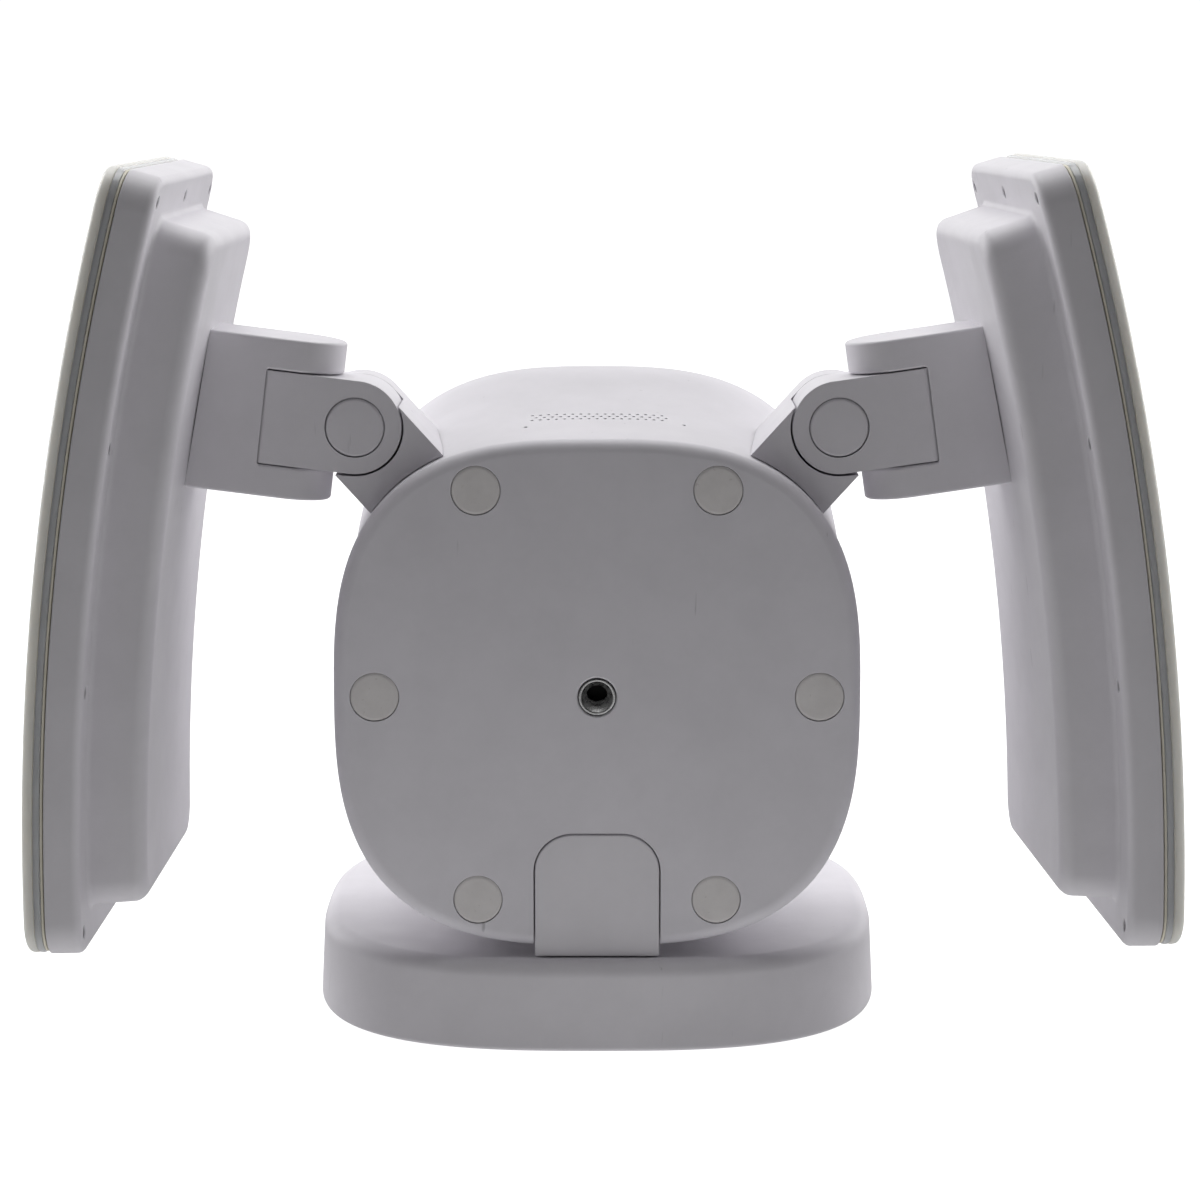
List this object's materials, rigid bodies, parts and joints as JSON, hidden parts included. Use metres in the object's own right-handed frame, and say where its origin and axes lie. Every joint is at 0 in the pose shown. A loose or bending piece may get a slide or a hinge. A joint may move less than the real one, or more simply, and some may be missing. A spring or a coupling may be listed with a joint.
{
  "type": "floodlight security camera",
  "caption": "Outdoor security camera with a squircle body on a wall plate, a pan and tilt camera head and a bowed floodlight panel on a jointed arm at each side.",
  "frame": {"origin": "middle of the mounting bracket's back, on the wall that the plate is fixed to", "axes": "+Z straight out of the wall, +X along the row of light heads, -Y the way the body's flat cover faces, +Y the side that carries the camera head"},
  "size_m": [0.267, 0.1699, 0.2106],
  "materials": {
    "white_plastic": "fine moulded texture, off-white",
    "silicone": "smooth, warm off-white",
    "rubber": "matt black",
    "steel": "plated",
    "dark_plastic": "matt black",
    "circuit_board": "green solder mask",
    "light_board": "white solder mask",
    "aluminium": "extruded, satin",
    "diffuser": "milky, warm",
    "brass": "machined",
    "lens_glass": "dark tinted"
  },
  "bodies": {
    "base": {"body_cover": "white_plastic", "body_shell": "white_plastic", "cover_gasket": "rubber", "far_cover": "white_plastic", "inner_frame": "dark_plastic", "knuckle_bolt_left": "steel", "knuckle_bolt_right": "steel", "main_board": "circuit_board", "mounting_bracket": "steel", "neck_arm": "white_plastic", "pan_bearing": "steel", "pan_motor": "steel", "plate_screw_1": "steel", "plate_screw_2": "steel", "power_board": "circuit_board", "screw_plug_1": "silicone", "screw_plug_2": "silicone", "screw_plug_3": "silicone", "screw_plug_4": "silicone", "screw_plug_5": "silicone", "screw_plug_6": "silicone", "siren_speaker": "dark_plastic", "socket_block_left": "white_plastic", "socket_block_right": "white_plastic", "threaded_insert": "steel", "wall_gasket": "rubber", "wall_plate": "white_plastic", "wire_grommet": "rubber"},
    "arm_left": {"arm_tongue_left": "white_plastic", "knuckle_cap_left": "white_plastic"},
    "arm_right": {"arm_tongue_right": "white_plastic", "knuckle_cap_right": "white_plastic"},
    "head_left": {"yoke_left": "white_plastic", "swivel_pin_left": "steel", "light_housing_left": "white_plastic", "led_board_left": "light_board", "heat_sink_left": "aluminium", "diffuser_gasket_left": "rubber", "light_diffuser_left": "diffuser"},
    "head_right": {"yoke_right": "white_plastic", "swivel_pin_right": "steel", "light_housing_right": "white_plastic", "led_board_right": "light_board", "heat_sink_right": "aluminium", "diffuser_gasket_right": "rubber", "light_diffuser_right": "diffuser"},
    "pan_head": {"pan_turntable": "white_plastic", "pan_gear": "dark_plastic"},
    "camera": {"camera_rear_shell": "white_plastic", "camera_front_shell": "white_plastic", "lens_window": "lens_glass", "lens_barrel": "dark_plastic", "sensor_board": "circuit_board", "infrared_board": "circuit_board", "tilt_motor": "steel", "tilt_pin_left": "dark_plastic", "tilt_pin_right": "dark_plastic"},
    "pinion": {"pan_pinion": "brass"},
    "button": {"setup_button": "silicone"}
  },
  "joints": [
    {"name": "knuckle_left", "type": "hinge", "parent": "base", "child": "arm_left", "pos_m": [-0.0569, -0.045, 0.1475], "axis": [0, 1, 0], "range_deg": [-3, 57]},
    {"name": "swivel_left", "type": "hinge", "parent": "arm_left", "child": "head_left", "pos_m": [-0.07228, -0.045, 0.14939], "axis": [0.1219, 0, 0.9925], "range_deg": [-35, 35]},
    {"name": "knuckle_right", "type": "hinge", "parent": "base", "child": "arm_right", "pos_m": [0.0569, -0.045, 0.1475], "axis": [0, -1, 0], "range_deg": [-3, 57]},
    {"name": "swivel_right", "type": "hinge", "parent": "arm_right", "child": "head_right", "pos_m": [0.07225, -0.045, 0.14968], "axis": [-0.1409, 0, 0.99], "range_deg": [-35, 35]},
    {"name": "pan", "type": "hinge", "parent": "base", "child": "pan_head", "pos_m": [0, 0.006, 0.0905], "axis": [0, 1, 0], "range_deg": [-170, 170]},
    {"name": "tilt", "type": "hinge", "parent": "pan_head", "child": "camera", "pos_m": [0, 0.044, 0.0905], "axis": [1, 0, 0], "range_deg": [-45, 60]},
    {"name": "pinion_spin", "type": "hinge", "parent": "base", "child": "pinion", "pos_m": [-0.0324, -0.002, 0.1065], "axis": [0, 1, 0], "range_deg": [-460, 460]},
    {"name": "setup_button_press", "type": "slide", "parent": "base", "child": "button", "axis": [0, -1, 0], "range_m": [0, 0.001], "stiffness_N_per_m": 800, "springref_m": -0.001}
  ],
  "couplings": [
    {"joint": "pinion_spin", "follows": "pan", "ratio": -2.6531}
  ]
}
